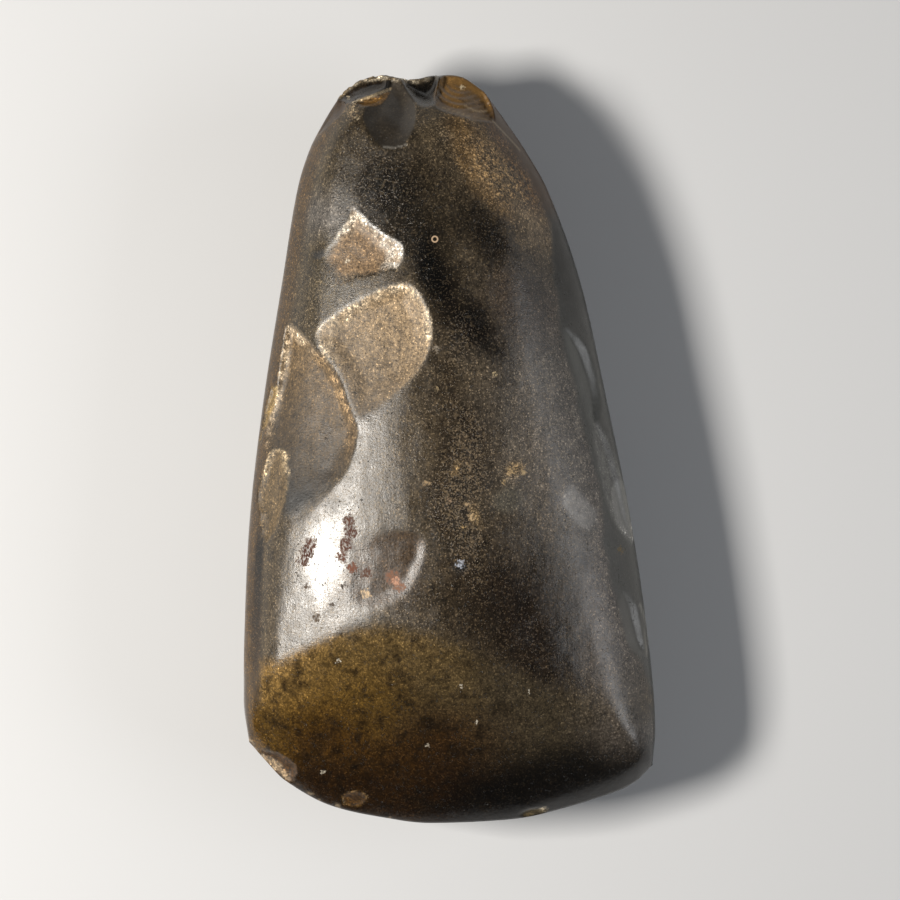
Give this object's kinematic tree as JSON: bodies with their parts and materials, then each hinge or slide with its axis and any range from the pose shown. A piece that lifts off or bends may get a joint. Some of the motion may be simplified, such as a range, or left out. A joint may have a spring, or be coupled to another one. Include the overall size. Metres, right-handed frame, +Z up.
{
  "type": "polished stone axe head",
  "caption": "Ground and polished flint axe head with a narrow flaked butt, scars of older flakes in its faces and a wide, curved cutting edge.",
  "frame": {"origin": "middle of the plan's bounding box, on the small ground flat that the stone lies on", "axes": "+X across the blade, +Y from the cutting edge to the butt, +Z up out of the upper face"},
  "size_m": [0.066, 0.12, 0.031],
  "materials": {
    "flint": "polished grey-brown flint, satin in the flake scars"
  },
  "bodies": {
    "root": {"axe_head": "flint"}
  },
  "joints": []
}
